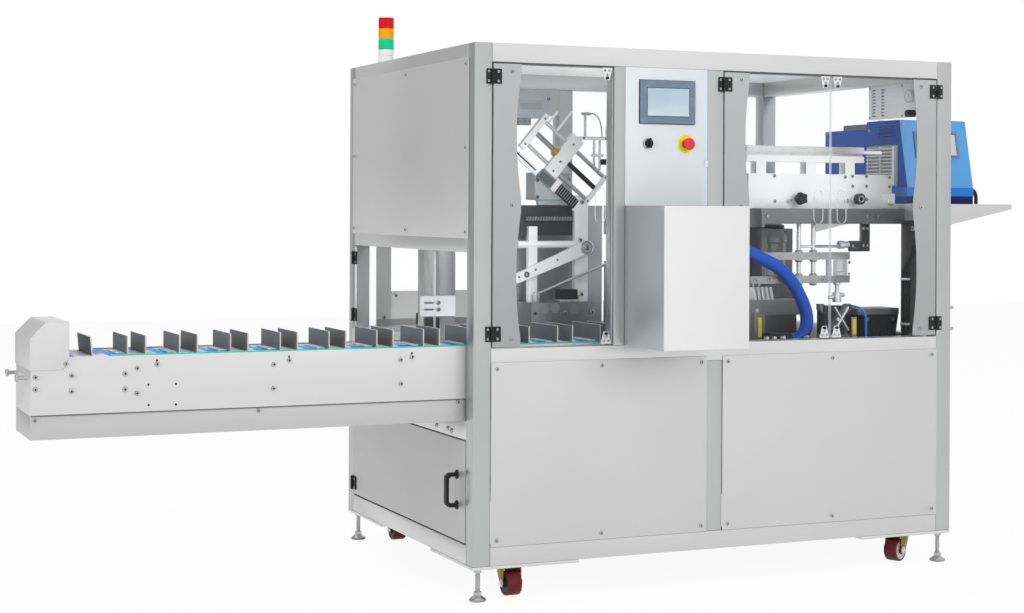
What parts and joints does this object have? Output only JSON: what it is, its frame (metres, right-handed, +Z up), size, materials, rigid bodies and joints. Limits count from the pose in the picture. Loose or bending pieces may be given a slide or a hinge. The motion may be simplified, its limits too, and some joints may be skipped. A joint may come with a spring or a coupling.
{
  "type": "automatic cartoner",
  "caption": "Glazed stainless cartoning machine with a paddle infeed conveyor, tilted carton magazine, operator panel, signal tower and a glue unit on a side shelf.",
  "frame": {"origin": "middle of the footprint box, on the floor under the levelling feet", "axes": "+X along the front away from the infeed conveyor, +Y into the depth, +Z up"},
  "size_m": [3.671, 1.505, 1.93],
  "materials": {
    "frame_steel": "satin brushed stainless tube",
    "sheet_steel": "brushed stainless sheet",
    "clear_acrylic": "clear polished acrylic",
    "black_plastic": "black moulded plastic",
    "white_paint": "smooth bluish-white powder coat",
    "grey_paint": "light grey paint",
    "bare_steel": "machined steel",
    "dark_steel": "dark painted steel",
    "cast_alloy": "as-cast alloy",
    "chrome_trim": "bright plated metal",
    "red_plastic": "red moulded plastic",
    "red_lens": "translucent red lens",
    "amber_lens": "translucent amber lens",
    "green_lens": "translucent green lens",
    "gold_zinc": "yellow zinc plating",
    "maroon_tread": "maroon polyurethane",
    "slat_plastic": "light grey moulded slats",
    "paddle_grey": "grey satin paddles",
    "wear_green": "green low-friction plastic",
    "hose_blue": "blue flexible hose",
    "unit_blue": "blue enamel"
  },
  "bodies": {
    "machine": {"frame_posts": "frame_steel", "frame_rails_x": "frame_steel", "frame_rails_y": "frame_steel", "roof_panel": "white_paint", "deck_plate": "sheet_steel", "sheet_panels": "sheet_steel", "guard_windows": "clear_acrylic", "corner_plates": "frame_steel", "levelling_feet": "bare_steel", "fixed_hinge_leaves": "black_plastic", "operator_housing": "white_paint", "operator_screen": "black_plastic", "switch_collars": "chrome_trim", "front_box": "sheet_steel", "front_box_cover": "white_paint", "signal_foot": "white_paint", "signal_green": "green_lens", "signal_amber": "amber_lens", "signal_red": "red_lens", "conveyor_frame": "bare_steel", "conveyor_tray": "grey_paint", "slat_chain": "slat_plastic", "chain_paddles": "paddle_grey", "wear_strip": "wear_green", "conveyor_end_cover": "grey_paint", "pick_stand": "grey_paint", "dark_beams": "dark_steel", "pick_arm": "bare_steel", "carton_magazine": "bare_steel", "magazine_drive": "cast_alloy", "press_rail": "bare_steel", "nozzle_carriage": "bare_steel", "scale_blocks": "bare_steel", "drive_motor": "dark_steel", "hose_fittings": "black_plastic", "air_hose": "hose_blue", "air_line": "hose_blue", "service_plates": "white_paint", "glue_shelf": "sheet_steel", "glue_unit": "unit_blue"},
    "left_door": {"left_door_pane": "clear_acrylic", "left_door_strip": "sheet_steel"},
    "mid_door": {"mid_door_pane": "clear_acrylic", "mid_door_strip": "sheet_steel"},
    "right_door": {"right_door_pane": "clear_acrylic", "right_door_strip": "sheet_steel"},
    "side_door": {"side_door_panel": "sheet_steel", "side_door_handle": "black_plastic"},
    "side_guard": {"side_guard_pane": "clear_acrylic", "side_guard_hinges": "black_plastic"},
    "selector": {"selector_knob": "black_plastic"},
    "stop_switch": {"stop_button": "red_plastic"},
    "caster_fl": {"caster_fork_fl": "gold_zinc"},
    "wheel_fl": {"caster_wheel_fl": "maroon_tread"},
    "caster_fr": {"caster_fork_fr": "gold_zinc"},
    "wheel_fr": {"caster_wheel_fr": "maroon_tread"},
    "caster_bl": {"caster_fork_bl": "gold_zinc"},
    "wheel_bl": {"caster_wheel_bl": "maroon_tread"},
    "caster_br": {"caster_fork_br": "gold_zinc"},
    "wheel_br": {"caster_wheel_br": "maroon_tread"}
  },
  "joints": [
    {"name": "left_door_hinge", "type": "hinge", "parent": "machine", "child": "left_door", "pos_m": [-0.3895, -0.487, 1.2495], "axis": [0, 0, -1], "range_deg": [0, 120]},
    {"name": "mid_door_hinge", "type": "hinge", "parent": "machine", "child": "mid_door", "pos_m": [0.4465, -0.487, 1.2495], "axis": [0, 0, -1], "range_deg": [0, 95]},
    {"name": "right_door_hinge", "type": "hinge", "parent": "machine", "child": "right_door", "pos_m": [1.3085, -0.487, 1.2495], "axis": [0, 0, 1], "range_deg": [0, 120]},
    {"name": "side_door_hinge", "type": "hinge", "parent": "machine", "child": "side_door", "pos_m": [-0.457, 0.6885, 0.3385], "axis": [0, 0, -1], "range_deg": [0, 110]},
    {"name": "side_guard_hinge", "type": "hinge", "parent": "machine", "child": "side_guard", "pos_m": [-0.457, 0.6885, 0.9485], "axis": [0, 0, -1], "range_deg": [0, 110]},
    {"name": "selector_turn", "type": "hinge", "parent": "machine", "child": "selector", "pos_m": [0.1615, -0.4885, 1.454], "axis": [0, 1, 0], "range_deg": [-45, 45]},
    {"name": "stop_press", "type": "slide", "parent": "machine", "child": "stop_switch", "axis": [0, 1, 0], "range_m": [0, 0.004]},
    {"name": "caster_swivel_fl", "type": "hinge", "parent": "machine", "child": "caster_fl", "pos_m": [-0.2955, -0.3965, 0.098], "axis": [0, 0, 1], "continuous": true},
    {"name": "wheel_spin_fl", "type": "hinge", "parent": "caster_fl", "child": "wheel_fl", "pos_m": [-0.2955, -0.4245, 0.044], "axis": [-1, 0, 0], "continuous": true},
    {"name": "caster_swivel_fr", "type": "hinge", "parent": "machine", "child": "caster_fr", "pos_m": [1.2145, -0.3965, 0.098], "axis": [0, 0, 1], "continuous": true},
    {"name": "wheel_spin_fr", "type": "hinge", "parent": "caster_fr", "child": "wheel_fr", "pos_m": [1.18933, -0.40877, 0.044], "axis": [-0.4384, 0.8988, 0], "continuous": true},
    {"name": "caster_swivel_bl", "type": "hinge", "parent": "machine", "child": "caster_bl", "pos_m": [-0.2955, 0.6655, 0.098], "axis": [0, 0, 1], "continuous": true},
    {"name": "wheel_spin_bl", "type": "hinge", "parent": "caster_bl", "child": "wheel_bl", "pos_m": [-0.2955, 0.6375, 0.044], "axis": [-1, 0, 0], "continuous": true},
    {"name": "caster_swivel_br", "type": "hinge", "parent": "machine", "child": "caster_br", "pos_m": [1.2145, 0.6655, 0.098], "axis": [0, 0, 1], "continuous": true},
    {"name": "wheel_spin_br", "type": "hinge", "parent": "caster_br", "child": "wheel_br", "pos_m": [1.2145, 0.6375, 0.044], "axis": [-1, 0, 0], "continuous": true}
  ]
}
